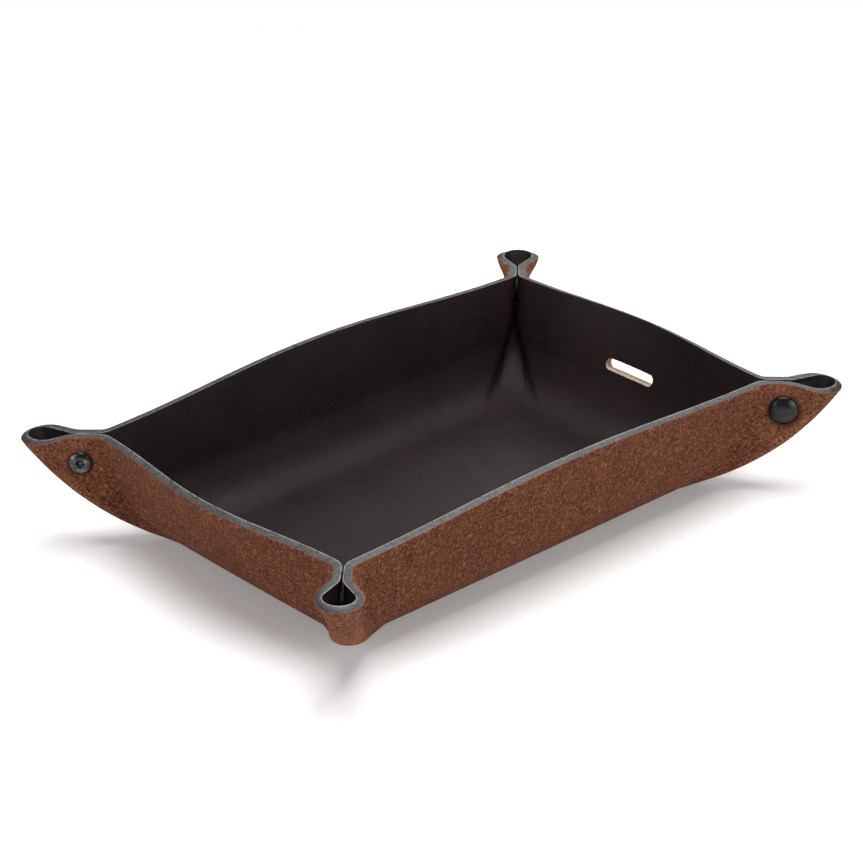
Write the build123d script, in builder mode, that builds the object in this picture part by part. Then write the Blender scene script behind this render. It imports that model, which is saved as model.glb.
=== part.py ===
from build123d import *
import math
import os

# A valet tray: one thick leather sheet, folded up all round a flat floor. Each corner is pinched
# into an open ear and held by a press stud. The floor lies on z = 0, X runs along the long walls.

os.makedirs("parts", exist_ok=True)

# The leather sheet
leather_thickness = 3.3
floor_half_length = 87.2
floor_half_width = 45.5
base_corner_radius = 19.9
base_bend_radius = 25.9
long_wall_lean = 9.9
short_wall_lean = 13.1
rim_height = 47.3
long_rim_rise = 5.4
short_rim_rise = -0.3
long_rim_bow = 0.7
short_rim_bow = 6.7

# The pinched ears at the corners
ear_fold_radius = 95.6
ear_start_height = 20.0
ear_fold_half_width = 5.1
ear_pinch_half_width = 3.9
ear_mouth_half_width = 8.0
ear_mouth_flank = 8.6
ear_tip_dip = 1.0
pinch_bend_radius = 6.0
pinch_start_gap = 5.0
pinch_gap = 2.0
pinch_rim_gap = 0.8
pinch_flat_below_snap = 7.0

# The cable slot in one short wall
slot_length = 28.0
slot_height = 5.0
slot_centre_height = 27.4

# The press studs: cap and socket on the long wall's layer, stud and post on the short wall's
snap_drop = 11.8
snap_outset = 10.7
cap_diameter = 12.5
cap_rise = 2.7
cap_edge_height = 0.7
cap_wall = 0.6
cap_shank_diameter = 3.8
cap_shank_wall = 0.6
shank_hole_clearance = 0.1
lip_width = 0.6
lip_height = 0.4
flesh_seat_depth = 0.25
flesh_seat_clearance = 0.1
grain_seat_depth = 0.8
grain_seat_clearance = 0.2
flange_thickness = 0.6
socket_flange_diameter = 11.0
socket_body_diameter = 9.4
socket_height = 2.8
socket_bore_diameter = 5.7
spring_wire_diameter = 0.6
spring_mean_diameter = 5.5
spring_depth = 0.5
spring_opening_angle = 40.0
spring_groove_clearance = 0.1
stud_flange_diameter = 9.6
stud_neck_diameter = 4.6
stud_head_diameter = 5.4
stud_head_height = 0.9
stud_rise = 1.9
stud_head_recess_diameter = 4.5
stud_head_recess_depth = 0.6
post_flange_diameter = 9.7
post_rise = 1.4
post_edge_height = 0.4
post_mouth_diameter = 4.2
post_shank_diameter = 3.2
post_shank_wall = 0.5

# How finely the sheet's curved form is followed
sheet_rows = 40
long_columns = 66
short_columns = 50
fit_tolerance = 0.03
cut_overrun = 4.0

half_thickness = leather_thickness / 2
diagonal = math.sqrt(2)
tangent_share = math.sqrt(2) - 1
snap_level = rim_height - snap_drop


def ease(share):
    """A smooth step from 0 to 1."""
    share = min(max(share, 0), 1)
    return share * share * (3 - 2 * share)


def mix(start, end, share):
    """A value between two others."""
    return start + (end - start) * share


def wall_run(height, lean):
    """How far a wall has moved out from the floor's edge at a height."""
    turn = math.radians(90 - lean)
    bend_top = base_bend_radius * (1 - math.cos(turn))
    if height <= bend_top:
        return math.sqrt(max(base_bend_radius**2 - (base_bend_radius - height) ** 2, 0))
    return base_bend_radius * math.sin(turn) + (height - bend_top) * math.tan(math.radians(lean))


def wall_crossing(height):
    """Where the long wall's and the short wall's lines cross at a height."""
    return (
        floor_half_length + wall_run(height, short_wall_lean),
        floor_half_width + wall_run(height, long_wall_lean),
    )


def ear_tip(height):
    """How far the corner's fold stands beyond the walls' crossing, along the bisector."""
    fold = math.sqrt(2 * ear_fold_radius * height - height**2)
    advance = (wall_run(height, long_wall_lean) + wall_run(height, short_wall_lean)) / diagonal
    return fold - advance - tangent_share * base_corner_radius


def ear_shape(height):
    """Half width, half gap, flank length and flank angle of the ear at a height."""
    opening = ease((height - snap_level) / snap_drop)
    flat_start = snap_level - pinch_flat_below_snap
    closing = ease((height - ear_start_height) / (flat_start - ear_start_height))
    half_width = mix(mix(ear_fold_half_width, ear_pinch_half_width, closing), ear_mouth_half_width, opening)
    flank = ear_mouth_flank * opening
    gap = mix(mix(pinch_start_gap, pinch_gap, closing), pinch_rim_gap, opening)
    half_gap = half_thickness + gap / 2
    radius_sum = half_width + pinch_bend_radius
    level = (half_gap + pinch_bend_radius) / math.hypot(radius_sum, flank)
    angle = math.acos(min(1, level)) - math.atan2(flank, radius_sum)
    return half_width, half_gap, flank, angle


def ear_flat(height):
    """Start and length of the ear's flat stretch along the bisector at a height."""
    half_width, half_gap, flank, angle = ear_shape(height)
    start = tangent_share * pinch_bend_radius - half_gap
    mouth = (pinch_bend_radius + half_width) * math.sin(angle) + flank * math.cos(angle) + half_width
    return start, ear_tip(height) - start - mouth


def walk(start, legs, share):
    """The point at a share of a chain of legs, each a length, a first heading and a curvature."""
    left = share * sum(leg[0] for leg in legs)
    x, y = start
    for length, heading, curvature in legs:
        step = min(max(left, 0), length)
        if curvature:
            end = heading + curvature * step
            x += (math.sin(end) - math.sin(heading)) / curvature
            y -= (math.cos(end) - math.cos(heading)) / curvature
        else:
            x += step * math.cos(heading)
            y += step * math.sin(heading)
        left -= length
    return x, y


def outline(height, reach, share):
    """The point at a share of half a corner's outline at a height, from a wall's middle to the tip.

    The first axis runs out along the corner's bisector from the crossing of the walls, and the
    second one runs square to it, towards the wall. The wall's middle is a reach away.
    """
    down_wall = -math.pi / 4
    start = (-reach / diagonal, reach / diagonal)
    level = max(height, ear_start_height)
    half_width, half_gap, flank, angle = ear_shape(level)
    flat_start, flat = ear_flat(level)
    side_step = pinch_bend_radius / diagonal
    bend_start = (flat_start - side_step, half_gap + pinch_bend_radius - side_step)
    ear_legs = [
        (reach - math.hypot(*bend_start), down_wall, 0),
        (pinch_bend_radius * math.pi / 4, down_wall, 1 / pinch_bend_radius),
        (flat, 0, 0),
        (pinch_bend_radius * angle, 0, 1 / pinch_bend_radius),
        (flank, angle, 0),
        (half_width * (angle + math.pi / 2), angle, -1 / half_width),
    ]
    ear = walk(start, ear_legs, share)
    if height >= ear_start_height:
        return ear
    round_legs = [
        (reach - base_corner_radius, down_wall, 0),
        (base_corner_radius * math.pi / 4, down_wall, -1 / base_corner_radius),
    ]
    rounded = walk(start, round_legs, share)
    round_tip = walk(start, round_legs, 1)[0]
    pinched = (ear_tip(height) - round_tip) / (ear_tip(ear_start_height) - round_tip)
    return mix(rounded[0], ear[0], pinched), mix(rounded[1], ear[1], pinched)


def sheet_row(climb):
    """Points of the sheet's middle surface across one quarter, at a share of the rim's height.

    They run from the middle of the long wall round the ear to the middle of the short wall. Each
    wall swells from its ears to its middle, in height by its rise and in plan by its bow.
    """
    halves = []
    for is_long, columns, rise, bow in (
        (True, long_columns, long_rim_rise, long_rim_bow),
        (False, short_columns, short_rim_rise, short_rim_bow),
    ):
        points = []
        for column in range(columns + 1):
            level = rim_height * climb
            swell = 0
            dip = ear_tip_dip * ease(4 * column / columns - 3)
            for settle in range(2):
                corner_x, corner_y = wall_crossing(level)
                reach = corner_x if is_long else corner_y
                out, off = outline(level, reach, column / columns)
                side = off if is_long else -off
                x = corner_x + (out - side) / diagonal
                y = corner_y + (out + side) / diagonal
                swell = math.cos(math.pi / 2 * min(1, (x if is_long else y) / reach)) ** 2
                level = (rim_height + rise * swell - dip) * climb
            bulge = bow * swell * climb**1.5
            points.append((x, y + bulge, level) if is_long else (x + bulge, y, level))
        halves.append(points)
    return halves[0] + halves[1][-2::-1]


def sheet_skin(grid, side):
    """The sheet's grain side (-1) or flesh side (1) as rows of points."""
    last_row = len(grid) - 1
    last_column = len(grid[0]) - 1
    rows = []
    for i, row in enumerate(grid):
        points = []
        for j, point in enumerate(row):
            up = grid[min(i + 1, last_row)][j] - grid[max(i - 1, 0)][j]
            across = row[min(j + 1, last_column)] - row[max(j - 1, 0)]
            if j == 0:
                across = Vector(1, 0, 0)
            if j == last_column:
                across = Vector(0, -1, 0)
            normal = up.cross(across).normalized() if i else Vector(0, 0, -1)
            points.append(point + normal * side * half_thickness)
        rows.append(points)
    return rows


def sheet_solid():
    """The whole sheet: four quarters, each with two skins and a cut rim, and the floor's two faces."""
    shares = [row / sheet_rows for row in range(sheet_rows + 1)]
    rows = [sheet_row(share**2 * (2 - share)) for share in shares]
    grid = [[Vector(x, y, z + half_thickness) for x, y, z in row] for row in rows]
    skins = [
        Face.make_surface_from_array_of_points(sheet_skin(grid, side), tol=fit_tolerance)
        for side in (-1, 1)
    ]
    rims = [face.edges().sort_by(Axis.Z)[-1] for face in skins]
    quarter = [*skins, Face.make_surface_from_curves(*rims)]
    half = quarter + [face.mirror(Plane.YZ) for face in quarter]
    whole = half + [face.mirror(Plane.XZ) for face in half]
    floors = []
    for number in range(2):
        hems = [face.edges().sort_by(Axis.Z)[0] for face in whole[number::3]]
        floors.append(Face(Wire(hems)))
    return Solid(Shell(whole + floors))


# Depths along a press stud's axis, from the middle of the pinch
grain_face = pinch_gap / 2
grain_seat = grain_face + grain_seat_depth
flesh_seat = grain_face + leather_thickness - flesh_seat_depth
socket_mouth = grain_seat - socket_height
socket_ceiling = grain_seat - flange_thickness
stud_base = -grain_seat
stud_shoulder = stud_base + flange_thickness
stud_top = stud_base + flange_thickness + stud_rise


def snap_frame(x_side, y_side):
    """A press stud's sketch plane, at one corner: X outwards, Y towards the long wall's flesh side."""
    corner_x, corner_y = wall_crossing(snap_level)
    out = snap_outset / diagonal
    origin = Vector(x_side * (corner_x + out), y_side * (corner_y + out), snap_level + half_thickness)
    outwards = Vector(x_side, y_side, 0).normalized()
    axis = Vector(-x_side, y_side, 0).normalized()
    return Plane(origin=origin, x_dir=outwards, z_dir=outwards.cross(axis))


def turn_profile(plane, points):
    """A turned piece: the outline's points are radius and depth, and it turns about the plane's Y."""
    with BuildPart() as turned:
        with BuildSketch(plane):
            with BuildLine():
                Polyline(*points, close=True)
            make_face()
        revolve(axis=Axis(plane.origin, plane.y_dir))
    return turned


def make_cap(plane):
    """The domed cap, with the hollow shank that goes through the leather into the socket."""
    radius = cap_diameter / 2
    shank = cap_shank_diameter / 2
    bore = shank - cap_shank_wall
    top = flesh_seat + cap_rise
    lip_end = socket_ceiling - lip_height
    with BuildPart() as cap:
        with BuildSketch(plane):
            with BuildLine():
                dome = TangentArc((0, top), (radius, flesh_seat + cap_edge_height), tangent=(1, 0))
                Polyline(
                    dome @ 1,
                    (radius, flesh_seat),
                    (radius - cap_wall, flesh_seat),
                    (radius - cap_wall, flesh_seat + cap_edge_height - cap_wall / 2),
                    (shank, top - 2 * cap_wall),
                    (shank, socket_ceiling),
                    (shank + lip_width, socket_ceiling),
                    (shank + lip_width, lip_end),
                    (bore, lip_end),
                    (bore, top - 2 * cap_wall),
                    (0, top - 2 * cap_wall),
                    (0, top),
                )
            make_face()
        revolve(axis=Axis(plane.origin, plane.y_dir))
    return cap


def make_socket(plane):
    """The socket: a flange on the grain side and a cup with the spring's groove."""
    hole = cap_shank_diameter / 2 + shank_hole_clearance
    bore = socket_bore_diameter / 2
    body = socket_body_diameter / 2
    flange = socket_flange_diameter / 2
    groove = (spring_mean_diameter + spring_wire_diameter) / 2 + spring_groove_clearance
    spring_centre = socket_mouth + spring_depth
    groove_half = spring_wire_diameter / 2 + spring_groove_clearance
    points = [
        (hole, grain_seat),
        (flange, grain_seat),
        (flange, socket_ceiling),
        (body, socket_ceiling),
        (body, socket_mouth),
        (bore, socket_mouth),
        (bore, spring_centre - groove_half),
        (groove, spring_centre - groove_half),
        (groove, spring_centre + groove_half),
        (bore, spring_centre + groove_half),
        (bore, socket_ceiling),
        (hole, socket_ceiling),
    ]
    return turn_profile(plane, points)


def make_spring(plane):
    """The split spring ring that grips the stud's neck."""
    centre = (spring_mean_diameter / 2, socket_mouth + spring_depth)
    opening = plane.rotated((0, spring_opening_angle / 2, 0))
    with BuildPart() as spring:
        with BuildSketch(opening):
            with Locations(centre):
                Circle(spring_wire_diameter / 2)
        revolve(axis=Axis(plane.origin, -plane.y_dir), revolution_arc=360 - spring_opening_angle)
    return spring


def make_stud(plane):
    """The stud: a flange on the grain side, a neck and a head that snaps into the socket."""
    hole = post_shank_diameter / 2 + shank_hole_clearance
    head = stud_head_diameter / 2
    recess = stud_head_recess_diameter / 2
    chamfer_size = stud_head_height / 4
    points = [
        (hole, stud_base),
        (stud_flange_diameter / 2, stud_base),
        (stud_flange_diameter / 2, stud_shoulder),
        (stud_neck_diameter / 2, stud_shoulder),
        (stud_neck_diameter / 2, stud_top - stud_head_height),
        (head, stud_top - stud_head_height + chamfer_size),
        (head, stud_top - chamfer_size),
        (head - chamfer_size, stud_top),
        (recess, stud_top),
        (recess, stud_top - stud_head_recess_depth),
        (hole, stud_top - stud_head_recess_depth),
    ]
    return turn_profile(plane, points)


def make_post(plane):
    """The post: a rounded eyelet on the flesh side, and the shank that is rolled over in the stud."""
    flange = post_flange_diameter / 2
    shank = post_shank_diameter / 2
    bore = shank - post_shank_wall
    lip_start = stud_top - stud_head_recess_depth
    with BuildPart() as post:
        with BuildSketch(plane):
            with BuildLine():
                crown = TangentArc(
                    (post_mouth_diameter / 2, -flesh_seat - post_rise),
                    (flange, -flesh_seat - post_edge_height),
                    tangent=(1, 0),
                )
                Polyline(
                    crown @ 1,
                    (flange, -flesh_seat),
                    (shank, -flesh_seat),
                    (shank, lip_start),
                    (shank + lip_width, lip_start),
                    (shank + lip_width, lip_start + lip_height),
                    (bore, lip_start + lip_height),
                    (bore, -flesh_seat),
                    crown @ 0,
                )
            make_face()
        revolve(axis=Axis(plane.origin, plane.y_dir))
    return post


corners = {
    "front_left": (-1, -1),
    "front_right": (1, -1),
    "back_left": (-1, 1),
    "back_right": (1, 1),
}
snap_pieces = {
    "snap_cap": make_cap,
    "snap_socket": make_socket,
    "snap_spring": make_spring,
    "snap_stud": make_stud,
    "snap_post": make_post,
}

# Each seat is a diameter and its two ends along the press stud's axis
leather_seats = [
    (cap_shank_diameter + 2 * shank_hole_clearance, 0, flesh_seat + cut_overrun),
    (post_shank_diameter + 2 * shank_hole_clearance, -flesh_seat - cut_overrun, 0),
    (socket_flange_diameter + 2 * grain_seat_clearance, 0, grain_seat),
    (stud_flange_diameter + 2 * grain_seat_clearance, -grain_seat, 0),
    (cap_diameter + 2 * flesh_seat_clearance, flesh_seat, flesh_seat + cut_overrun),
    (post_flange_diameter + 2 * flesh_seat_clearance, -flesh_seat - cut_overrun, -flesh_seat),
]

# The press studs' seats and shank holes in the leather
with BuildPart() as snap_seats:
    for sides in corners.values():
        frame = snap_frame(*sides)
        for diameter, low, high in leather_seats:
            with BuildSketch(Plane(frame.origin + frame.y_dir * low, x_dir=frame.x_dir, z_dir=frame.y_dir)):
                Circle(diameter / 2)
            extrude(amount=high - low)

# The leather sheet, with the seats and the cable slot cut out of it
short_wall_at_slot = wall_crossing(slot_centre_height)[0]
with BuildPart() as leather_sheet:
    add(sheet_solid())
    add(snap_seats.part, mode=Mode.SUBTRACT)
    with BuildSketch(Plane.YZ.offset(short_wall_at_slot - leather_thickness - cut_overrun)):
        with Locations((0, slot_centre_height)):
            SlotOverall(slot_length, slot_height)
    extrude(amount=2 * (leather_thickness + cut_overrun), mode=Mode.SUBTRACT)
leather_sheet.part.label = "leather_sheet"
export_step(leather_sheet.part, "parts/leather_sheet.step")

# The press studs, one of each piece at every corner
for corner, sides in corners.items():
    for piece, make in snap_pieces.items():
        made = make(snap_frame(*sides))
        made.part.label = f"{piece}_{corner}"
        export_step(made.part, f"parts/{piece}_{corner}.step")
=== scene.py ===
"""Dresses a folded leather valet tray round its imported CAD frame, and lights it in a plain studio.

Everything is in metres, in the tray's own frame: X runs along the long walls, Z is up, and the
floor's underside lies on z = 0. The leather is bent from a flat grid by the same sizes as the
CAD sheet, so it lies in the same place.
"""
from __future__ import annotations

import logging
import math
import random
from dataclasses import dataclass
from enum import Enum, IntEnum
from typing import Any

import bmesh
import bpy
from mathutils import Matrix, Vector, kdtree

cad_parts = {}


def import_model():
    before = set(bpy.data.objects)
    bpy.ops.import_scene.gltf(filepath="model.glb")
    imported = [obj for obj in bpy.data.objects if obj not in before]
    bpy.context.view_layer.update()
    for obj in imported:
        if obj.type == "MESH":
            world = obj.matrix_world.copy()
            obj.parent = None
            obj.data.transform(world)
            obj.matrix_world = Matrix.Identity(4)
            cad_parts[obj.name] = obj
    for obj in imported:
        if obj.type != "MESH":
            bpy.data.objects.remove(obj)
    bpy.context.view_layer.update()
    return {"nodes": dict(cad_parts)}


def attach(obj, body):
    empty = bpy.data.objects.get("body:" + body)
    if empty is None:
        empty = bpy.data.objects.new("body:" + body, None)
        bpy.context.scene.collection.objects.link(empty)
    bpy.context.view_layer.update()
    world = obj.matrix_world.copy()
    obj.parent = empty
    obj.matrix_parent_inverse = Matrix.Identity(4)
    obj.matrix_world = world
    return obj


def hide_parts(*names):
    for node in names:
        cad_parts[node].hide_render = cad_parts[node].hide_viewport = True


MM = 0.001
LOG = logging.getLogger("valet_tray")
Triple = tuple[float, float, float]
Colour = Triple
Pair = tuple[float, float]
Socket = bpy.types.NodeSocket
WHITE: Colour = (1.0, 1.0, 1.0)
ROOT_2 = math.sqrt(2)


class Layer(IntEnum):
    """The sheet's kinds of surface, which are also its material slots."""

    GRAIN = 0
    FLESH = 1
    EDGE = 2
    RAW_CUT = 3


class Wall(Enum):
    """The two kinds of wall that meet at a corner."""

    LONG = "long"
    SHORT = "short"


@dataclass(frozen=True)
class Corner:
    """One corner of the tray: which side of the origin it is on, along X and Y."""

    name: str
    x_side: int
    y_side: int


CORNERS = (
    Corner("front_left", -1, -1),
    Corner("front_right", 1, -1),
    Corner("back_left", -1, 1),
    Corner("back_right", 1, 1),
)


def ease(share: float) -> float:
    """Returns a smooth step from 0 to 1."""
    share = min(max(share, 0.0), 1.0)
    return share * share * (3 - 2 * share)


def mix(start: float, end: float, share: float) -> float:
    """Returns the value at a share of the way between two others."""
    return start + (end - start) * share


@dataclass(frozen=True)
class SheetForm:
    """The middle surface of the folded sheet, from the tray's real sizes."""

    thickness: float = 3.3 * MM
    floor_half_length: float = 87.2 * MM
    floor_half_width: float = 45.5 * MM
    base_corner_radius: float = 19.9 * MM
    base_bend_radius: float = 25.9 * MM
    long_wall_lean: float = math.radians(9.9)
    short_wall_lean: float = math.radians(13.1)
    rim_height: float = 47.3 * MM
    long_rim_rise: float = 5.4 * MM
    short_rim_rise: float = -0.3 * MM
    long_rim_bow: float = 0.7 * MM
    short_rim_bow: float = 6.7 * MM
    ear_fold_radius: float = 95.6 * MM
    ear_start_height: float = 20.0 * MM
    ear_fold_half_width: float = 5.1 * MM
    ear_pinch_half_width: float = 3.9 * MM
    ear_mouth_half_width: float = 8.0 * MM
    ear_mouth_flank: float = 8.6 * MM
    ear_tip_dip: float = 1.0 * MM
    ear_dip_start: float = 0.75
    pinch_bend_radius: float = 6.0 * MM
    pinch_start_gap: float = 5.0 * MM
    pinch_gap: float = 2.0 * MM
    pinch_rim_gap: float = 0.8 * MM
    pinch_flat_below_snap: float = 7.0 * MM
    snap_drop: float = 11.8 * MM
    snap_outset: float = 10.7 * MM

    @property
    def half_thickness(self) -> float:
        """Half of the leather's thickness."""
        return self.thickness / 2

    @property
    def snap_level(self) -> float:
        """The press studs' height over the floor's middle surface."""
        return self.rim_height - self.snap_drop

    def wall_run(self, height: float, lean: float) -> float:
        """Finds how far a wall has moved out from the floor's edge.

        Args:
            height: The height over the floor's middle surface.
            lean: The wall's lean from the vertical, in radians.

        Returns:
            The distance out from the floor's edge.
        """
        radius = self.base_bend_radius
        turn = math.pi / 2 - lean
        bend_top = radius * (1 - math.cos(turn))
        if height <= bend_top:
            return math.sqrt(max(radius**2 - (radius - height) ** 2, 0.0))
        return radius * math.sin(turn) + (height - bend_top) * math.tan(lean)

    def wall_crossing(self, height: float) -> Pair:
        """Finds where the long wall's and the short wall's lines cross.

        Args:
            height: The height over the floor's middle surface.

        Returns:
            The crossing's distances from the tray's middle, along X and Y.
        """
        return (
            self.floor_half_length + self.wall_run(height, self.short_wall_lean),
            self.floor_half_width + self.wall_run(height, self.long_wall_lean),
        )

    def ear_tip(self, height: float) -> float:
        """Finds how far the corner's fold stands beyond the walls' crossing.

        Args:
            height: The height over the floor's middle surface.

        Returns:
            The distance along the corner's bisector.
        """
        fold = math.sqrt(2 * self.ear_fold_radius * height - height**2)
        leans = (self.long_wall_lean, self.short_wall_lean)
        runs = sum(self.wall_run(height, lean) for lean in leans)
        return fold - runs / ROOT_2 - (ROOT_2 - 1) * self.base_corner_radius

    def ear_shape(self, height: float) -> tuple[float, float, float, float]:
        """Finds the ear's section at a height.

        Args:
            height: The height over the floor's middle surface.

        Returns:
            The half width, the half gap, the flank's length and the flank's angle.
        """
        opening = ease((height - self.snap_level) / self.snap_drop)
        flat_start = self.snap_level - self.pinch_flat_below_snap
        closing = ease((height - self.ear_start_height) / (flat_start - self.ear_start_height))
        folded = mix(self.ear_fold_half_width, self.ear_pinch_half_width, closing)
        half_width = mix(folded, self.ear_mouth_half_width, opening)
        flank = self.ear_mouth_flank * opening
        gap = mix(mix(self.pinch_start_gap, self.pinch_gap, closing), self.pinch_rim_gap, opening)
        half_gap = self.half_thickness + gap / 2
        radius_sum = half_width + self.pinch_bend_radius
        level = (half_gap + self.pinch_bend_radius) / math.hypot(radius_sum, flank)
        angle = math.acos(min(1.0, level)) - math.atan2(flank, radius_sum)
        return half_width, half_gap, flank, angle

    @staticmethod
    def walk(start: Pair, legs: list[Triple], share: float) -> Pair:
        """Walks a share of a chain of straight and round legs.

        Args:
            start: The chain's first point.
            legs: Each leg's length, first heading and curvature.
            share: How much of the chain's length to walk.

        Returns:
            The point that is reached.
        """
        left = share * sum(leg[0] for leg in legs)
        x, y = start
        for length, heading, curvature in legs:
            step = min(max(left, 0.0), length)
            if curvature:
                end = heading + curvature * step
                x += (math.sin(end) - math.sin(heading)) / curvature
                y -= (math.cos(end) - math.cos(heading)) / curvature
            else:
                x += step * math.cos(heading)
                y += step * math.sin(heading)
            left -= length
        return x, y

    def outline(self, height: float, reach: float, share: float) -> Pair:
        """Finds a point of half a corner's outline at a height.

        Args:
            height: The height over the floor's middle surface.
            reach: The wall's half length, from its middle to the crossing.
            share: 0 at the wall's middle, 1 at the ear's tip.

        Returns:
            The point's place along the corner's bisector and square to it.
        """
        down_wall = -math.pi / 4
        start = (-reach / ROOT_2, reach / ROOT_2)
        level = max(height, self.ear_start_height)
        half_width, half_gap, flank, angle = self.ear_shape(level)
        bend = self.pinch_bend_radius
        flat_start = (ROOT_2 - 1) * bend - half_gap
        mouth = (bend + half_width) * math.sin(angle) + flank * math.cos(angle) + half_width
        flat = self.ear_tip(level) - flat_start - mouth
        side_step = bend / ROOT_2
        bend_start = (flat_start - side_step, half_gap + bend - side_step)
        ear = self.walk(
            start,
            [
                (reach - math.hypot(*bend_start), down_wall, 0.0),
                (bend * math.pi / 4, down_wall, 1 / bend),
                (flat, 0.0, 0.0),
                (bend * angle, 0.0, 1 / bend),
                (flank, angle, 0.0),
                (half_width * (angle + math.pi / 2), angle, -1 / half_width),
            ],
            share,
        )
        if height >= self.ear_start_height:
            return ear
        radius = self.base_corner_radius
        round_legs = [
            (reach - radius, down_wall, 0.0),
            (radius * math.pi / 4, down_wall, -1 / radius),
        ]
        rounded = self.walk(start, round_legs, share)
        round_tip = self.walk(start, round_legs, 1.0)[0]
        start_tip = self.ear_tip(self.ear_start_height)
        pinched = (self.ear_tip(height) - round_tip) / (start_tip - round_tip)
        return mix(rounded[0], ear[0], pinched), mix(rounded[1], ear[1], pinched)

    def point(self, wall: Wall, along: float, up: float) -> Vector:
        """Finds a point of the middle surface in the quarter where X and Y are positive.

        Args:
            wall: The wall that the point belongs to.
            along: 0 at the wall's middle, 1 at the ear's tip.
            up: 0 at the floor's edge, 1 at the rim. The height grows with its square.

        Returns:
            The point, with the floor's underside at z = 0.
        """
        is_long = wall is Wall.LONG
        rise = self.long_rim_rise if is_long else self.short_rim_rise
        bow = self.long_rim_bow if is_long else self.short_rim_bow
        dip = self.ear_tip_dip * ease((along - self.ear_dip_start) / (1 - self.ear_dip_start))
        level = self.rim_height * up**2
        x = y = swell = 0.0
        for _ in range(2):
            corner_x, corner_y = self.wall_crossing(level)
            reach = corner_x if is_long else corner_y
            out, off = self.outline(level, reach, along)
            side = off if is_long else -off
            x = corner_x + (out - side) / ROOT_2
            y = corner_y + (out + side) / ROOT_2
            swell = math.cos(math.pi / 2 * min(1.0, (x if is_long else y) / reach)) ** 2
            level = (self.rim_height + rise * swell - dip) * up**2
        bulge = bow * swell * up**3
        height = level + self.half_thickness
        return Vector((x, y + bulge, height)) if is_long else Vector((x + bulge, y, height))

    def snap_axes(self, corner: Corner) -> tuple[Vector, Vector, Vector]:
        """Finds a press stud's place and directions.

        Args:
            corner: The corner that the press stud holds.

        Returns:
            The middle of the pinch on the stud's axis, the direction out along the bisector, and
            the axis towards the long wall's flesh side, where the cap is.
        """
        corner_x, corner_y = self.wall_crossing(self.snap_level)
        out = self.snap_outset / ROOT_2
        height = self.snap_level + self.half_thickness
        place = Vector((corner.x_side * (corner_x + out), corner.y_side * (corner_y + out), height))
        outwards = Vector((corner.x_side, corner.y_side, 0)).normalized()
        axis = Vector((-corner.x_side, corner.y_side, 0)).normalized()
        return place, outwards, axis


@dataclass(frozen=True)
class Pattern:
    """A noise pattern: its largest features in metres, its octaves, their strength and its curl."""

    size: float
    detail: float = 3.0
    roughness: float = 0.55
    distortion: float = 0.0


@dataclass(frozen=True)
class Tint:
    """A colour that comes out, up to a share, where a value goes from one number to another."""

    start: float
    full: float
    share: float
    colour: Colour


@dataclass(frozen=True)
class Relief:
    """A relief's depth in metres, and how much of it shows."""

    depth: float
    strength: float


class NodeTree:
    """The node tree of a material or a world, built node by node."""

    def __init__(self, owner: bpy.types.Material | bpy.types.World) -> None:
        """Starts an empty tree.

        Args:
            owner: The material or world that it belongs to.
        """
        owner.use_nodes = True
        self.tree = owner.node_tree
        self.tree.nodes.clear()

    def feed(self, socket: Socket, value: Any) -> None:
        """Links or sets one input socket.

        Args:
            socket: The input socket.
            value: Another node's output socket, a number or a colour.
        """
        if isinstance(value, Socket):
            self.tree.links.new(value, socket)
        else:
            socket.default_value = (*value, 1.0) if isinstance(value, tuple) else value

    def fill(self, node: bpy.types.Node, **values: Any) -> bpy.types.Node:
        """Feeds a node's inputs.

        Args:
            node: The node.
            values: Its sockets' names in lower case with underscores, and what they get.

        Returns:
            The same node.
        """
        for name, value in values.items():
            socket = name.replace("_", " ").title().replace("Ior", "IOR")
            self.feed(node.inputs[socket], value)
        return node

    def node(self, kind: str, **values: Any) -> bpy.types.Node:
        """Adds a node of a kind and feeds its inputs."""
        return self.fill(self.tree.nodes.new(f"ShaderNode{kind}"), **values)


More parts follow.
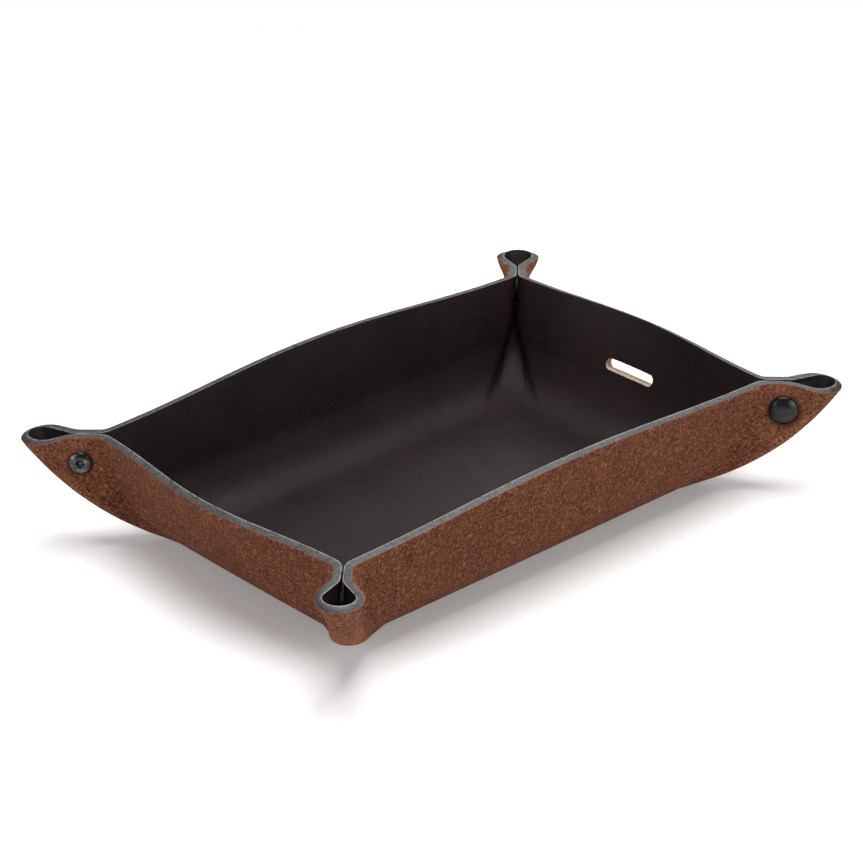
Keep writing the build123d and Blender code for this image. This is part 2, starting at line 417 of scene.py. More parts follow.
class Recipe(NodeTree):
    """A material's node tree round a Principled shader."""

    mix_inputs = (0, 6, 7)
    mix_result = 2

    def __init__(self, name: str) -> None:
        """Starts the material and its shader.

        Args:
            name: The material's name.
        """
        self.material = bpy.data.materials.new(name)
        super().__init__(self.material)
        self.shader = self.node("BsdfPrincipled")
        self.node("OutputMaterial", surface=self.shader.outputs["BSDF"])
        self.place = self.node("TexCoord").outputs["Object"]

    def set(self, **values: Any) -> None:
        """Sets the shader's own sockets."""
        self.fill(self.shader, **values)

    def noise(self, pattern: Pattern) -> Socket:
        """Adds a noise pattern, with values from 0 to 1."""
        node = self.node("TexNoise", vector=self.place, scale=1 / pattern.size,
                         detail=pattern.detail, roughness=pattern.roughness,
                         distortion=pattern.distortion)
        return node.outputs["Fac"]

    def cells(self, size: float, randomness: float) -> Socket:
        """Adds a pattern of soft cells of a size in metres, and returns the distance in it."""
        node = self.node("TexVoronoi", vector=self.place, scale=1 / size, randomness=randomness)
        node.feature = "SMOOTH_F1"
        return node.outputs["Distance"]

    def attribute(self, name: str) -> Socket:
        """Returns the value of a mesh attribute of that name."""
        node = self.node("Attribute")
        node.attribute_name = name
        return node.outputs["Fac"]

    def math(self, operation: str, first: Any, second: Any = 0.0) -> Socket:
        """Adds a sum.

        Args:
            operation: The Math node's operation.
            first: The first number or socket.
            second: The second number or socket.

        Returns:
            The result.
        """
        node = self.node("Math")
        node.operation = operation
        self.feed(node.inputs[0], first)
        self.feed(node.inputs[1], second)
        return node.outputs["Value"]

    def lift(self, base: Any, value: Any, factor: float) -> Socket:
        """Adds a value times a factor to a base."""
        return self.math("ADD", base, self.math("MULTIPLY", value, factor))

    def average(self, first: Any, second: Any, share: float) -> Socket:
        """Averages two values, of which the first has a share of the weight."""
        return self.lift(self.math("MULTIPLY", first, share), second, 1 - share)

    def span(self, value: Any, start: float, full: float) -> Socket:
        """Stretches a range of a value to 0 to 1, smoothly and clamped.

        Args:
            value: The value's socket.
            start: What becomes 0.
            full: What becomes 1.

        Returns:
            The stretched value.
        """
        node = self.node("MapRange", value=value, from_min=start, from_max=full)
        node.interpolation_type = "SMOOTHSTEP"
        return node.outputs["Result"]

    def blend(self, share: Any, first: Any, second: Any) -> Socket:
        """Mixes two colours.

        Args:
            share: How much of the second colour shows.
            first: The first colour or socket.
            second: The second colour or socket.

        Returns:
            The mixed colour.
        """
        node = self.node("Mix")
        node.data_type = "RGBA"
        for number, value in zip(self.mix_inputs, (share, first, second)):
            self.feed(node.inputs[number], value)
        return node.outputs[self.mix_result]

    def tint(self, colour: Any, *layers: tuple) -> Socket:
        """Lays tints over a colour.

        Args:
            colour: The colour below them.
            layers: The value that brings out a tint, the tint, and where there is one a value
                from 0 to 1 that holds it back.

        Returns:
            The tinted colour.
        """
        for value, tint, *within in layers:
            shown = self.span(value, tint.start, tint.full)
            for limit in (*within, tint.share):
                shown = self.math("MULTIPLY", shown, limit)
            colour = self.blend(shown, colour, tint.colour)
        return colour

    def bump(self, height: Any, relief: Relief, under: Any = None) -> Socket:
        """Adds relief.

        Args:
            height: The relief's height, from 0 to 1.
            relief: Its depth and strength.
            under: The normal of a coarser relief below it.

        Returns:
            The normal.
        """
        node = self.node("Bump", height=height, distance=relief.depth, strength=relief.strength)
        if under is not None:
            self.fill(node, normal=under)
        return node.outputs["Normal"]


@dataclass(frozen=True)
class FleshFinish:
    """The rough rust-brown flesh side outside."""

    speck: Pattern = Pattern(1.25 * MM, 3, 0.7, 0.6)
    curl: Pattern = Pattern(1.9 * MM, 4, 0.62, 2.4)
    fibre: Pattern = Pattern(1.6 * MM, 2, 0.5, 3.2)
    clump: Pattern = Pattern(9 * MM, 3, 0.6, 0.4)
    cloud: Pattern = Pattern(42 * MM, 2)
    speck_share: float = 0.5
    shade: Colour = (0.085, 0.026, 0.0135)
    tan: Colour = (0.60, 0.275, 0.125)
    body: Tint = Tint(0.41, 0.59, 1.0, (0.212, 0.065, 0.035))
    # Painted light: the ears' necks are painted lighter, as if lit more.
    ear_painted_light: Tint = Tint(0.34, 0.60, 0.55, (0.40, 0.155, 0.080))
    less_past_stud: float = 0.8
    strands: Tint = Tint(0.030, 0.0, 0.70, tan)
    strand_gaps: Pair = (0.42, 0.58)
    flecks: Tint = Tint(0.57, 0.69, 0.58, tan)
    pits: Tint = Tint(0.335, 0.255, 0.92, (0.016, 0.0065, 0.0045))
    clump_lift: float = -0.22
    patches: Tint = Tint(0.42, 0.75, 0.18, shade)
    # Painted shade: how dark the ring round each stud's seat is painted.
    painted_shade_share: float = 0.7
    clump_relief: Relief = Relief(0.5 * MM, 0.5)
    nap_relief: Relief = Relief(0.75 * MM, 0.9)
    strand_relief: Relief = Relief(0.18 * MM, 0.8)
    strand_width: float = 0.05

    def material(self) -> bpy.types.Material:
        """Builds the mottled nap, its curled fibres, its pits and its relief, with painted light on
        the ears and painted shade round the studs.
        """
        recipe = Recipe("flesh_side")
        speck = recipe.noise(self.speck)
        curl = recipe.noise(self.curl)
        clump = recipe.noise(self.clump)
        tone = recipe.average(speck, curl, self.speck_share)
        ridge = recipe.math("ABSOLUTE", recipe.math("SUBTRACT", recipe.noise(self.fibre), 0.5))
        ear_end = recipe.attribute("ear_end")
        # Where the painted light on the ears shows: full on the neck, less past the stud.
        ear = recipe.lift(recipe.attribute("ear"), ear_end, -self.less_past_stud)
        # Painted shade: a dark ring round each stud's seat, in the pits' colour.
        painted_seat_shade = recipe.math("MULTIPLY", recipe.attribute("painted_seat_shade"), self.painted_shade_share)
        colour = recipe.tint(
            self.shade,
            (tone, self.body),
            # Painted light on the ears.
            (tone, self.ear_painted_light, ear),
            (ridge, self.strands, recipe.span(speck, *self.strand_gaps)),
            (speck, self.flecks),
            (recipe.lift(curl, clump, self.clump_lift), self.pits),
            (recipe.noise(self.cloud), self.patches),
        )
        nap = recipe.bump(tone, self.nap_relief, recipe.bump(clump, self.clump_relief))
        strands = recipe.span(ridge, self.strand_width, 0.0)
        # The painted shade round the studs' seats goes over the finished colour here.
        recipe.set(
            base_color=recipe.blend(painted_seat_shade, colour, self.pits.colour), roughness=0.95,
            specular_ior_level=0.12, sheen_weight=0.12, sheen_roughness=0.5,
            sheen_tint=(0.75, 0.42, 0.28), normal=recipe.bump(strands, self.strand_relief, nap),
        )
        return recipe.material


@dataclass(frozen=True)
class GrainFinish:
    """The smooth very dark brown grain side inside."""

    warp: Pattern = Pattern(7 * MM, 2)
    cloud: Pattern = Pattern(34 * MM)
    crease: Pattern = Pattern(5.5 * MM, 4, 0.62, 1.5)
    cloud_share: float = 0.6
    pebble_size: float = 1.15 * MM
    pebble_randomness: float = 0.9
    dark: Colour = (0.0060, 0.0031, 0.0036)
    body: Tint = Tint(0.36, 0.64, 1.0, (0.0150, 0.0062, 0.0065))
    roughness: float = 0.46
    roughness_swing: float = 0.16
    roll_relief: Relief = Relief(0.5 * MM, 0.35)
    fold_relief: Relief = Relief(0.16 * MM, 0.5)
    pebble_relief: Relief = Relief(0.10 * MM, 0.6)

    def material(self) -> bpy.types.Material:
        """Builds the fine pebbled grain with its soft sheen."""
        recipe = Recipe("grain_side")
        cloud = recipe.noise(self.cloud)
        crease = recipe.noise(self.crease)
        folds = recipe.bump(crease, self.fold_relief, recipe.bump(cloud, self.roll_relief))
        pebble = recipe.cells(self.pebble_size, self.pebble_randomness)
        tone = recipe.average(cloud, crease, self.cloud_share)
        recipe.set(
            base_color=recipe.tint(self.dark, (tone, self.body)),
            roughness=recipe.lift(self.roughness, recipe.noise(self.warp), self.roughness_swing),
            specular_ior_level=0.23, normal=recipe.bump(pebble, self.pebble_relief, folds),
        )
        return recipe.material


@dataclass(frozen=True)
class CutEdgeFinish:
    """The burnished charcoal cut edge, from the grain's arris to the ragged flesh arris."""

    mottle: Pattern = Pattern(1.9 * MM, 4, 0.65, 0.5)
    speck: Pattern = Pattern(0.9 * MM, 3, 0.6)
    patch: Pattern = Pattern(14 * MM, 2)
    dark: Colour = (0.024, 0.025, 0.028)
    worn: Colour = (0.40, 0.37, 0.345)
    body: Tint = Tint(0.38, 0.62, 1.0, (0.074, 0.074, 0.078))
    flecks: Tint = Tint(0.56, 0.72, 0.40, worn)
    patches: Tint = Tint(0.45, 0.75, 0.35, dark)
    # Darker towards the ear's end and towards the flesh side.
    darker_at_ear_end: Tint = Tint(0.0, 0.9, 0.85, (0.011, 0.0115, 0.013))
    inner_line: Tint = Tint(0.16, 0.02, 0.75, worn)
    line_gaps: Pair = (0.3, 0.5)
    fibres: Tint = Tint(1.07, 1.22, 1.0, (0.12, 0.052, 0.032))
    raggedness: float = 0.60
    roughness: float = 0.32
    roughness_swing: float = 0.3
    coarse_relief: Relief = Relief(0.22 * MM, 0.7)
    fine_relief: Relief = Relief(0.08 * MM, 0.7)

    def material(self) -> bpy.types.Material:
        """Builds the mottled band, its light inner line and the brown fibres along its outside."""
        recipe = Recipe("cut_edge")
        depth = recipe.attribute("depth")
        mottle = recipe.noise(self.mottle)
        speck = recipe.noise(self.speck)
        colour = recipe.tint(
            self.dark,
            (mottle, self.body),
            (speck, self.flecks),
            (recipe.noise(self.patch), self.patches),
            # Darker towards the ear's end and the flesh side.
            (depth, self.darker_at_ear_end, recipe.attribute("ear_end")),
            (depth, self.inner_line, recipe.span(mottle, *self.line_gaps)),
            (recipe.lift(depth, mottle, self.raggedness), self.fibres),
        )
        coarse = recipe.bump(mottle, self.coarse_relief)
        recipe.set(
            base_color=colour, specular_ior_level=0.5,
            roughness=recipe.lift(self.roughness, mottle, self.roughness_swing),
            normal=recipe.bump(speck, self.fine_relief, coarse),
        )
        return recipe.material


@dataclass(frozen=True)
class SmallFinish:
    """The finish of a small surface: its mottled tone, gloss, patches and relief."""

    name: str
    mottle: Pattern
    base: Colour
    body: Tint
    roughness: float
    roughness_swing: float = 0.0
    specular: float = 0.5
    metallic: float = 0.0
    patches: tuple[tuple[Pattern, Tint], ...] = ()
    relief: Relief | None = None
    relief_pattern: Pattern | None = None

    def material(self) -> bpy.types.Material:
        """Builds the tone and its patches, the gloss that follows the tone, and the relief."""
        recipe = Recipe(self.name)
        mottle = recipe.noise(self.mottle)
        patches = [(recipe.noise(pattern), tint) for pattern, tint in self.patches]
        recipe.set(
            base_color=recipe.tint(self.base, (mottle, self.body), *patches),
            roughness=self.roughness, specular_ior_level=self.specular, metallic=self.metallic,
        )
        if self.roughness_swing:
            recipe.set(roughness=recipe.lift(self.roughness, mottle, self.roughness_swing))
        if self.relief:
            height = recipe.noise(self.relief_pattern) if self.relief_pattern else mottle
            recipe.set(normal=recipe.bump(height, self.relief))
        return recipe.material


RAW_CUT = SmallFinish(
    "raw_cut", Pattern(0.8 * MM, 4, 0.65, 0.8), (0.36, 0.22, 0.14),
    Tint(0.36, 0.60, 1.0, (0.62, 0.50, 0.40)), roughness=0.85, specular=0.2,
    patches=((Pattern(5 * MM, 2), Tint(0.45, 0.75, 0.3, (0.36, 0.22, 0.14))),),
    relief=Relief(0.12 * MM, 0.7),
)
LOOSE_FIBRE = SmallFinish(
    "loose_fibre", Pattern(2.4 * MM, 1), (0.10, 0.036, 0.020),
    Tint(0.40, 0.60, 1.0, (0.55, 0.28, 0.15)), roughness=0.9, specular=0.15,
)
DRAWN_WIRE = SmallFinish(
    "drawn_wire", Pattern(0.3 * MM), (0.52, 0.52, 0.54),
    Tint(0.35, 0.65, 1.0, (0.36, 0.36, 0.38)), roughness=0.2, roughness_swing=0.2, metallic=1.0,
    relief=Relief(0.01 * MM, 0.4),
)
COATED = {
    "mottle": Pattern(2.6 * MM, 4, 0.6), "roughness_swing": 0.14,
    "relief": Relief(0.02 * MM, 0.5), "relief_pattern": Pattern(0.5 * MM, 2),
}
SATIN_CAP = SmallFinish(
    "satin_black_cap", base=(0.007, 0.007, 0.008),
    body=Tint(0.48, 0.72, 0.4, (0.022, 0.021, 0.022)), roughness=0.18, specular=0.30, **COATED,
)
GUNMETAL_POST = SmallFinish(
    "gunmetal_post", base=(0.050, 0.051, 0.057),
    body=Tint(0.48, 0.72, 0.6, (0.21, 0.205, 0.20)), roughness=0.19, metallic=1.0, **COATED,
)
BLACKENED_SOCKET = SmallFinish(
    "blackened_socket", base=(0.006, 0.006, 0.006),
    body=Tint(0.48, 0.72, 0.4, (0.014, 0.013, 0.013)), roughness=0.55, **COATED,
)


def link(name: str, data: bpy.types.ID) -> bpy.types.Object:
    """Puts a mesh, camera or light in the scene as an object at the origin.

    Args:
        name: The object's name.
        data: What it shows.

    Returns:
        The new object.
    """
    piece = bpy.data.objects.new(name, data)
    bpy.context.scene.collection.objects.link(piece)
    return piece


def store(mesh: bpy.types.Mesh, name: str, values: list[float]) -> None:
    """Stores a value for each of a mesh's vertices as an attribute of that name."""
    attribute = mesh.attributes.new(name, "FLOAT", "POINT")
    attribute.data.foreach_set("value", values)


def modify(piece: bpy.types.Object, name: str, kind: str, **settings: Any) -> None:
    """Gives an object a modifier.

    Args:
        piece: The object.
        name: The modifier's name.
        kind: The modifier's kind.
        settings: What it is set to.
    """
    modifier = piece.modifiers.new(name, kind)
    for setting, value in settings.items():
        setattr(modifier, setting, value)


@dataclass(frozen=True)
class FoldedSheet:
    """The one leather sheet, bent from a grid, thickened, slotted and softened at its arrises."""

    form: SheetForm = SheetForm()
    half_columns: int = 88
    wall_rows: int = 46
    floor_rows: int = 7
    row_crowding: float = 0.75
    tip_crowding: float = 0.5
    merge_distance: float = 0.02 * MM
    arris: float = 0.42 * MM
    arris_angle: float = math.radians(50)
    arris_segments: int = 3
    slot_length: float = 28.0 * MM
    slot_height: float = 5.0 * MM
    slot_centre_height: float = 27.4 * MM
    slot_reach: float = 12.0 * MM
    slot_segments: int = 32
    cap_seat_radius: float = 6.35 * MM
    post_seat_radius: float = 4.95 * MM
    cap_seat_depth: float = 4.0 * MM
    seat_layer: Pair = (2.6 * MM, 9.0 * MM)
    seat_blend: float = 2.2 * MM
    # How far the painted shade spreads out round each seat.
    painted_shade_reach: float = 1.7 * MM
    shank_radius: float = 2.3 * MM
    shank_blend: float = 1.2 * MM
    shank_depth: float = 3.9 * MM
    ear_end_start: float = 5.0 * MM
    ear_end_run: float = 9.0 * MM
    ear_start: float = -20.0 * MM
    ear_run: float = 22.0 * MM

    def place(self, across: float, up: float) -> Vector:
        """Finds where a point of the flat grid goes.

        Args:
            across: 0 at the long wall's middle, 1 at the short wall's middle.
            up: 0 at the floor's middle, 1 at the rim.

        Returns:
            The point's place on the middle surface.
        """
        wall = Wall.LONG if across <= 0.5 else Wall.SHORT
        even = 2 * across if wall is Wall.LONG else 2 - 2 * across
        along = even * (1 + self.tip_crowding) - self.tip_crowding * even**2
        floor_share = self.floor_rows / (self.floor_rows + self.wall_rows)
        if up >= floor_share:
            wall_up = ((up - floor_share) / (1 - floor_share)) ** self.row_crowding
            return self.form.point(wall, along, wall_up)
        hem = self.form.point(wall, along, 0.0)
        ridge = self.form.floor_half_length - self.form.floor_half_width
        core = Vector((ridge * min(1.0, hem.x / self.form.floor_half_length), 0.0, hem.z))
        return core.lerp(hem, up / floor_share)

    def bent_grid(self) -> bmesh.types.BMesh:
        """Bends a flat grid to a quarter of the sheet and mirrors it to the whole one."""
        grid = bmesh.new()
        half = 0.5
        rows = self.floor_rows + self.wall_rows
        bmesh.ops.create_grid(grid, x_segments=2 * self.half_columns, y_segments=rows, size=half)
        for vert in grid.verts:
            vert.co = self.place(vert.co.x + half, vert.co.y + half)
        for axis in ("X", "Y"):
            bent = grid.verts[:] + grid.edges[:] + grid.faces[:]
            bmesh.ops.mirror(grid, geom=bent, merge_dist=self.merge_distance, axis=axis)
        bmesh.ops.remove_doubles(grid, verts=grid.verts[:], dist=self.merge_distance)
        bmesh.ops.recalc_face_normals(grid, faces=grid.faces[:])
        middle = min(grid.faces, key=lambda face: face.calc_center_median().length)
        if middle.normal.z < 0:
            bmesh.ops.reverse_faces(grid, faces=grid.faces[:])
        return grid

    def slot_cutter(self) -> bpy.types.Object:
        """Builds the rounded bar that cuts the cable slot through one short wall."""
        bar = bmesh.new()
        radius = self.slot_height / 2
        run = self.slot_length - self.slot_height
        bmesh.ops.create_circle(bar, cap_ends=True, segments=self.slot_segments, radius=radius)
        for side in (1, -1):
            end = [vert for vert in bar.verts if side * vert.co.x > self.merge_distance]
            bmesh.ops.translate(bar, verts=end, vec=(side * run / 2, 0, 0))
        solid = bmesh.ops.extrude_face_region(bar, geom=bar.faces[:])
        top = [item for item in solid["geom"] if isinstance(item, bmesh.types.BMVert)]
        bmesh.ops.translate(bar, verts=top, vec=(0, 0, 2 * self.slot_reach))
        wall_x = self.form.wall_crossing(self.slot_centre_height)[0]
        upright = Matrix(((0, 0, 1), (1, 0, 0), (0, 1, 0))).to_4x4()
        start = Matrix.Translation((wall_x - self.slot_reach, 0, self.slot_centre_height))
        bmesh.ops.transform(bar, matrix=start @ upright, verts=bar.verts[:])
        bmesh.ops.recalc_face_normals(bar, faces=bar.faces[:])
        for face in bar.faces:
            face.material_index = Layer.RAW_CUT
        mesh = bpy.data.meshes.new("slot_cutter")
        bar.to_mesh(mesh)
        bar.free()
        return link("slot_cutter", mesh)

    def press_seats(self, mesh: bpy.types.Mesh) -> None:
        """Presses the leather in under each cap and post, and marks a ring of painted shade round
        each.

        It also marks how far out along an ear each vertex lies, for the painted light on the ear's
        nap and the darker end of its edge.

        Args:
            mesh: The thickened sheet's mesh.
        """
        painted_seat_shades, ears, ear_ends = ([0.0] * len(mesh.vertices) for _ in range(3))
        nearest, farthest = self.seat_layer
        for corner in CORNERS:
            place, outwards, axis = self.form.snap_axes(corner)
            for vert in mesh.vertices:
                offset = vert.co - place
                height, out, index = offset.dot(axis), offset.dot(outwards), vert.index
                ear_end = ease((out - self.ear_end_start) / self.ear_end_run)
                ears[index] = max(ears[index], ease((out - self.ear_start) / self.ear_run))
                ear_ends[index] = max(ear_ends[index], ear_end)
                depth = abs(height)
                if not nearest <= depth <= farthest:
                    continue
                radius = (offset - axis * height).length
                seat = self.cap_seat_radius if height > 0 else self.post_seat_radius
                pressed = 1 - ease((radius - seat) / self.seat_blend)
                # Painted shade: darkest at the seat, fading out past its edge.
                painted_seat_shade = 1 - ease((radius - seat) / self.painted_shade_reach)
                painted_seat_shades[index] = max(painted_seat_shades[index], painted_seat_shade)
                shank = 1 - ease((radius - self.shank_radius) / self.shank_blend)
                seat_depth = mix(self.cap_seat_depth, self.shank_depth, shank)
                if pressed > 0 and depth > seat_depth:
                    target = mix(depth, seat_depth, pressed)
                    vert.co -= axis * math.copysign(depth - target, height)
        for name, values in (("painted_seat_shade", painted_seat_shades), ("ear", ears), ("ear_end", ear_ends)):
            store(mesh, name, values)

    def mark_depth(self, mesh: bpy.types.Mesh, middle: bmesh.types.BMesh) -> None:
        """Marks how far through the leather each vertex lies, 0 on the grain and 1 on the flesh.

        Args:
            mesh: The finished mesh.
            middle: The sheet's middle surface.
        """
        tree = kdtree.KDTree(len(middle.verts))
        middle.verts.ensure_lookup_table()
        for vert in middle.verts:
            tree.insert(vert.co, vert.index)
        tree.balance()
        depths = []
        for vert in mesh.vertices:
            _, index, _ = tree.find(vert.co)
            near = middle.verts[index]
            depths.append(0.5 - (vert.co - near.co).dot(near.normal) / self.form.thickness)
        store(mesh, "depth", depths)

    def build(self) -> bpy.types.Object:
        """Builds the finished sheet in place of its CAD node."""
        grid = self.bent_grid()
        grid.normal_update()
        mesh = bpy.data.meshes.new("folded_leather")
        grid.to_mesh(mesh)
        piece = link("folded_leather", mesh)
        for finish in (GrainFinish(), FleshFinish(), CutEdgeFinish(), RAW_CUT):
            mesh.materials.append(finish.material())
        modify(piece, "thickness", "SOLIDIFY", thickness=self.form.thickness, offset=0,
               use_even_offset=True, material_offset=Layer.FLESH, material_offset_rim=Layer.EDGE)
        cutter = self.slot_cutter()
        for finish in mesh.materials:
            cutter.data.materials.append(finish)
        modify(piece, "slot", "BOOLEAN", operation="DIFFERENCE", solver="EXACT", object=cutter)
        modify(piece, "arris", "BEVEL", limit_method="ANGLE", angle_limit=self.arris_angle,
               width=self.arris, segments=self.arris_segments, material=Layer.EDGE)
        finished = piece.evaluated_get(bpy.context.evaluated_depsgraph_get())
        finished_mesh = bpy.data.meshes.new_from_object(finished)
        piece.modifiers.clear()
        piece.data = finished_mesh
        bpy.data.objects.remove(cutter)
        self.press_seats(piece.data)
        self.mark_depth(piece.data, grid)
        piece.data.shade_smooth()
        grid.free()
        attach(piece, "root")
        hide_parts("leather_sheet")
        return piece


@dataclass(frozen=True)
class LooseFibres:
    """Fine fibres that stand out of the flesh side's arris, all round the rim."""

    form: SheetForm = SheetForm()
    count: int = 1500
    seed: int = 11
    sides: int = 4
    shortest: float = 0.5 * MM
    longest: float = 2.1 * MM
    thickness: float = 0.24 * MM
    thinning: Pair = (0.5, 1.0)
    tip_share: float = 1 / 3
    long_wall_share: float = 0.6
    last_along: float = 0.985
    step: float = 0.01
    sunk: float = 0.08 * MM
    arris_drop: float = 0.2 * MM
    reach_down: float = 1.3 * MM
    lean_outward: Pair = (0.3, 1.0)
    lean_up: Pair = (-0.5, 0.7)
    lean_onward: Pair = (-1.0, 1.0)

    def root(self, chance: random.Random) -> tuple[Vector, Vector]:
        """Picks where a fibre grows, in the quarter where X and Y are positive.

        Args:
            chance: The seeded source of chance.

        Returns:
            The fibre's root just inside the flesh side, and the way that it leans.
        """
        wall = Wall.LONG if chance.random() < self.long_wall_share else Wall.SHORT
        along = chance.uniform(0.0, self.last_along)
        rim = self.form.point(wall, along, 1.0)
        up = (rim - self.form.point(wall, along, 1 - self.step)).normalized()
        onward = (self.form.point(wall, along + self.step, 1.0) - rim).normalized()
        outward = up.cross(onward) if wall is Wall.LONG else onward.cross(up)
        outward.normalize()
        drop = self.arris_drop + self.reach_down * chance.random() ** 2
        place = rim + outward * (self.form.half_thickness - self.sunk) - up * drop
        lean = outward * chance.uniform(*self.lean_outward) + up * chance.uniform(*self.lean_up)
        return place, lean + onward * chance.uniform(*self.lean_onward)

    def build(self) -> bpy.types.Object:
        """Grows the fibres and joins them in one piece."""
        chance = random.Random(self.seed)
        tuft = bmesh.new()
        for _ in range(self.count):
            place, lean = self.root(chance)
            flip = Matrix.Diagonal((chance.choice((-1, 1)), chance.choice((-1, 1)), 1))
            place, lean = flip @ place, (flip @ lean).normalized()
            length = mix(self.shortest, self.longest, chance.random() ** 2)
            radius = self.thickness * chance.uniform(*self.thinning) / 2
            turn = lean.to_track_quat("Z", "Y").to_matrix().to_4x4()
            centre = Matrix.Translation(place + lean * length / 2)
            bmesh.ops.create_cone(tuft, cap_ends=True, segments=self.sides, radius1=radius,
                                  radius2=radius * self.tip_share, depth=length,
                                  matrix=centre @ turn)
        bmesh.ops.recalc_face_normals(tuft, faces=tuft.faces[:])
        mesh = bpy.data.meshes.new("loose_fibres")
        tuft.to_mesh(mesh)
        tuft.free()
        mesh.materials.append(LOOSE_FIBRE.material())
        piece = link("loose_fibres", mesh)
        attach(piece, "root")
        return piece


@dataclass(frozen=True)
class Ring:
    """One ring of a turned piece, which may wave in and out round its axis."""

    radius: float
    depth: float
    swing: float = 0.0


@dataclass(frozen=True)
class TurnedPiece:
    """A metal piece drawn ring by ring from a circle, round a press stud's axis.

    Its foot's rings are given from its radius and its seat, and its mouth's from its axis and its
    seat. The round crown lies between them.
    """

    name: str
    finish: SmallFinish
    towards_cap: bool
    radius: float
    rise: float
    edge_height: float
    crown_radius: float
    foot: tuple[Ring, ...]
    mouth: tuple[Ring, ...] = ()
    seat: float = 4.05 * MM
    arc_rings: int = 9
    points: int = 6
    segments: int = 72

    def rings(self) -> list[Ring]:
        """Finds the piece's rings, from its foot in over its crown."""
        foot = [Ring(self.radius + ring.radius, self.seat + ring.depth) for ring in self.foot]
        run, drop = self.radius - self.crown_radius, self.rise - self.edge_height
        bend = (run**2 + drop**2) / (2 * drop)
        last = math.asin(run / bend)
        turns = [last * (1 - number / self.arc_rings) for number in range(self.arc_rings + 1)]
        top = self.seat + self.rise
        crown = [Ring(self.crown_radius + bend * math.sin(turn), top - bend * (1 - math.cos(turn)))
                 for turn in turns]
        mouth = [Ring(ring.radius, self.seat + ring.depth, ring.swing) for ring in self.mouth]
        return foot + crown + mouth

    def draw(
        self, turned: bmesh.types.BMesh, place: Vector, outwards: Vector, facing: Vector
    ) -> None:
        """Draws the piece's skin in a mesh.

        Args:
            turned: The mesh that it goes into.
            place: The middle of the pinch on the press stud's axis.
            outwards: The direction out of the tray's corner.
            facing: The direction that the piece faces.
        """
        side = facing.cross(outwards)
        circle = bmesh.ops.create_circle(turned, segments=self.segments, radius=1.0)["verts"]
        turns = [math.atan2(vert.co.y, vert.co.x) for vert in circle]
        edges = turned.edges[:]
        for number, ring in enumerate(self.rings()):
            if number:
                drawn = bmesh.ops.extrude_edge_only(turned, edges=edges)["geom"]
                circle = [item for item in drawn if isinstance(item, bmesh.types.BMVert)]
                edges = [item for item in drawn if isinstance(item, bmesh.types.BMEdge)
                         and item.is_boundary]
                offsets = [vert.co - place for vert in circle]
                turns = [math.atan2(offset.dot(side), offset.dot(outwards)) for offset in offsets]
            for vert, turn in zip(circle, turns):
                reach = ring.radius + ring.swing * math.cos(self.points * turn)
                vert.co = place + facing * ring.depth
                vert.co += (outwards * math.cos(turn) + side * math.sin(turn)) * reach
        bmesh.ops.contextual_create(turned, geom=circle)
        bmesh.ops.recalc_face_normals(turned, faces=turned.faces[:])
        crown = max(turned.faces, key=lambda face: (face.calc_center_median() - place).dot(facing))
        if crown.normal.dot(facing) < 0:
            bmesh.ops.reverse_faces(turned, faces=turned.faces[:])

    def build(self, form: SheetForm, corner: Corner, finish: bpy.types.Material) -> None:
        """Builds the piece in place of its CAD node.

        Args:
            form: The sheet that it sits on.
            corner: The corner that it belongs to.
            finish: Its material.
        """
        place, outwards, axis = form.snap_axes(corner)
        turned = bmesh.new()
        self.draw(turned, place, outwards, axis if self.towards_cap else -axis)
        name = self.name
        mesh = bpy.data.meshes.new(f"turned_{name}_{corner.name}")
        turned.to_mesh(mesh)
        turned.free()
        mesh.materials.append(finish)
        mesh.shade_smooth()
        piece = link(f"turned_{name}_{corner.name}", mesh)
        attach(piece, "root")
        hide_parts(f"{name}_{corner.name}")


CAP = TurnedPiece(
    "snap_cap", SATIN_CAP, towards_cap=True, radius=6.25 * MM, rise=2.7 * MM,
    edge_height=0.7 * MM, crown_radius=0.25 * MM,
    foot=(Ring(-0.7 * MM, 0.0), Ring(-0.12 * MM, 0.0), Ring(0.0, 0.14 * MM), Ring(0.0, 0.54 * MM)),
)
POST = TurnedPiece(
    "snap_post", GUNMETAL_POST, towards_cap=False, radius=4.85 * MM, rise=1.4 * MM,
    edge_height=0.4 * MM, crown_radius=2.1 * MM,
    foot=(Ring(-0.5 * MM, 0.0), Ring(-0.1 * MM, 0.0), Ring(0.0, 0.1 * MM)),
    mouth=(
        Ring(1.92 * MM, 1.34 * MM, 0.05 * MM), Ring(1.55 * MM, 1.02 * MM, 0.22 * MM),
        Ring(1.25 * MM, 0.60 * MM, 0.28 * MM), Ring(0.95 * MM, 0.18 * MM, 0.22 * MM),
        Ring(0.30 * MM, 0.08 * MM),
    ),
)


@dataclass(frozen=True)
class PressStuds:
    """The metal pieces at the four corners: turned caps and posts, and the hidden CAD nodes."""

    form: SheetForm = SheetForm()
    turned: tuple[TurnedPiece, ...] = (CAP, POST)

    def build(self, nodes: dict[str, bpy.types.Object]) -> int:
        """Builds the caps and posts, and gives the hidden nodes their finishes.

        Args:
            nodes: The CAD nodes by name.

        Returns:
            How many pieces were finished.
        """
        outside = [piece.finish.material() for piece in self.turned]
        for corner in CORNERS:
            for piece, finish in zip(self.turned, outside):
                piece.build(self.form, corner, finish)
        finished = len(self.turned) * len(CORNERS)
        hidden = BLACKENED_SOCKET.material()
        wire = DRAWN_WIRE.material()
        finishes = {"snap_socket": hidden, "snap_stud": hidden, "snap_spring": wire}
        for name, node in nodes.items():
            for kind, finish in finishes.items():
                if name.startswith(kind):
                    node.data.materials.clear()
                    node.data.materials.append(finish)
                    node.data.shade_smooth()
                    finished += 1
        return finished


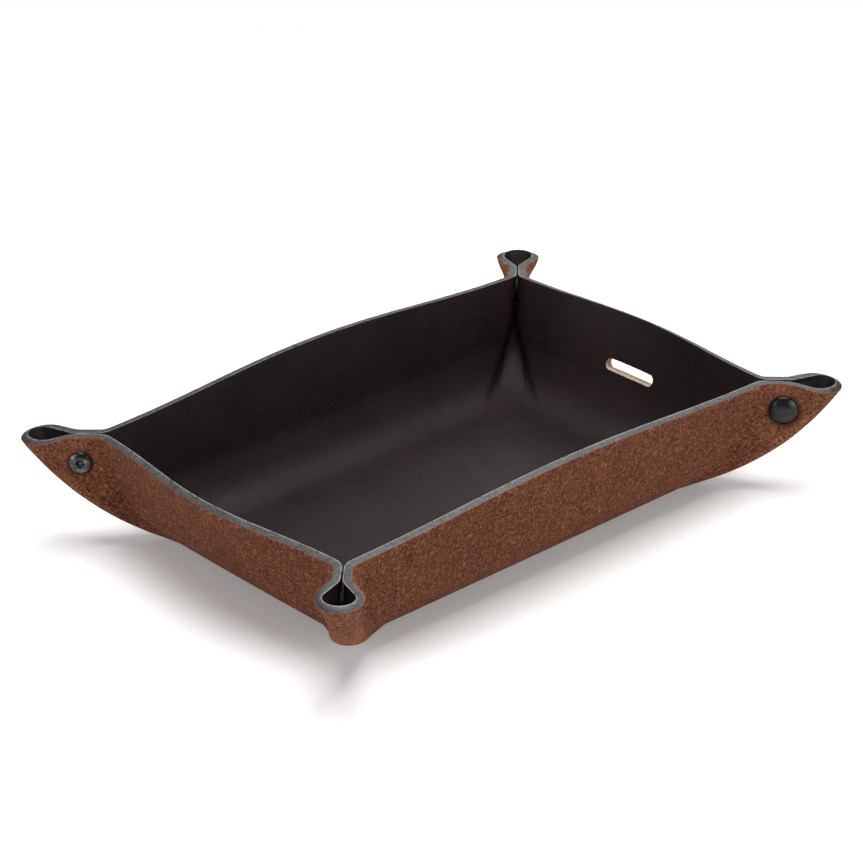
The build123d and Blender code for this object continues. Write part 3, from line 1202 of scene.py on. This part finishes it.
@dataclass(frozen=True)
class Lamp:
    """A square soft lamp: where it hangs, its side and its power in watts."""

    name: str
    place: Triple
    side: float
    power: float

    def hang(self) -> None:
        """Hangs the lamp, turned to the tray."""
        data = bpy.data.lights.new(self.name, "AREA")
        data.shape = "SQUARE"
        data.size = self.side
        data.energy = self.power
        lamp = link(self.name, data)
        lamp.location = self.place
        lamp.rotation_euler = Vector(self.place).to_track_quat("Z", "Y").to_euler()


@dataclass(frozen=True)
class Studio:
    """A plain white floor, soft light from above and the sides, and the photograph's camera."""

    camera_azimuth: float = math.radians(-42.73)
    camera_elevation: float = math.radians(26.67)
    camera_distance: float = 1330.04 * MM
    target: Triple = (48.22 * MM, 56.56 * MM, 0.0)
    focal_length_px: float = 3000.0
    frame_px: float = 863.0
    sensor_width: float = 36.0
    floor_radius: float = 0.62
    floor_segments: int = 96
    floor_colour: Colour = (0.80, 0.795, 0.79)
    seen_floor_colour: Colour = (0.98, 0.965, 0.96)
    floor_glow: float = 0.14
    horizon_top: float = 0.60
    horizon_strength: float = 0.20
    ceiling_strength: float = 0.14
    lamps: tuple[Lamp, ...] = (
        Lamp("overhead_softbox", (0.12, 0.05, 1.30), 1.0, 19.5),
        Lamp("rim_light", (1.15, 0.80, 0.95), 0.7, 4.5),
        Lamp("left_fill", (-1.60, 0.15, 0.46), 0.9, 9.0),
        Lamp("right_fill", (0.25, -1.60, 0.46), 0.9, 11.5),
    )

    def camera(self) -> None:
        """Places the camera at the photograph's angle."""
        data = bpy.data.cameras.new("camera")
        data.sensor_width = self.sensor_width
        data.lens = self.focal_length_px / self.frame_px * self.sensor_width
        camera = link("camera", data)
        level = math.cos(self.camera_elevation)
        back = Vector((
            math.sin(self.camera_azimuth) * level,
            -math.cos(self.camera_azimuth) * level,
            math.sin(self.camera_elevation),
        ))
        camera.location = Vector(self.target) + back * self.camera_distance
        camera.rotation_euler = back.to_track_quat("Z", "Y").to_euler()
        bpy.context.scene.camera = camera

    def floor(self) -> None:
        """Lays the round floor, which shows white to the camera where nothing shades it."""
        sheet = bmesh.new()
        bmesh.ops.create_circle(
            sheet, cap_ends=True, segments=self.floor_segments, radius=self.floor_radius
        )
        mesh = bpy.data.meshes.new("floor")
        sheet.to_mesh(mesh)
        sheet.free()
        recipe = Recipe("studio_floor")
        path = recipe.node("LightPath").outputs
        seen = recipe.math("MAXIMUM", path["Is Camera Ray"], path["Is Glossy Ray"])
        recipe.set(
            base_color=recipe.blend(seen, self.floor_colour, self.seen_floor_colour),
            roughness=0.9, specular_ior_level=0.1, emission_color=WHITE,
            emission_strength=recipe.math("MULTIPLY", seen, self.floor_glow),
        )
        mesh.materials.append(recipe.material)
        floor = link("floor", mesh)

    def world(self) -> None:
        """Surrounds the tray with a dim room, lighter at its horizon, and shows white behind it."""
        world = bpy.data.worlds.new("studio")
        bpy.context.scene.world = world
        room = NodeTree(world)
        direction = room.node("TexCoord").outputs["Generated"]
        height = room.node("SeparateXYZ", vector=direction).outputs["Z"]
        fade = room.node("MapRange", value=height, from_min=0.0, from_max=self.horizon_top,
                         to_min=self.horizon_strength, to_max=self.ceiling_strength)
        fade.interpolation_type = "SMOOTHSTEP"
        dim = room.node("Background", color=WHITE, strength=fade.outputs["Result"])
        seen = room.node("Background", color=WHITE, strength=1.0)
        path = room.node("LightPath").outputs
        either = room.node("MixShader", fac=path["Is Camera Ray"])
        room.feed(either.inputs[1], dim.outputs["Background"])
        room.feed(either.inputs[2], seen.outputs["Background"])
        room.node("OutputWorld", surface=either.outputs["Shader"])

    def build(self) -> None:
        """Sets up the whole studio."""
        bpy.context.scene.view_settings.view_transform = "Standard"
        self.camera()
        self.floor()
        for lamp in self.lamps:
            lamp.hang()
        self.world()


def main() -> None:
    """Sets up the studio and builds the tray's pieces in order."""
    logging.basicConfig(level=logging.INFO, format="%(name)s: %(message)s")
    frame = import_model()
    Studio().build()
    LOG.info("studio: camera, floor, lamps and world")
    for piece in (FoldedSheet().build(), LooseFibres().build()):
        LOG.info("%s: %d faces", piece.name, len(piece.data.polygons))
    count = PressStuds().build(frame["nodes"])
    LOG.info("press studs: %d pieces", count)


if __name__ == "__main__":
    main()
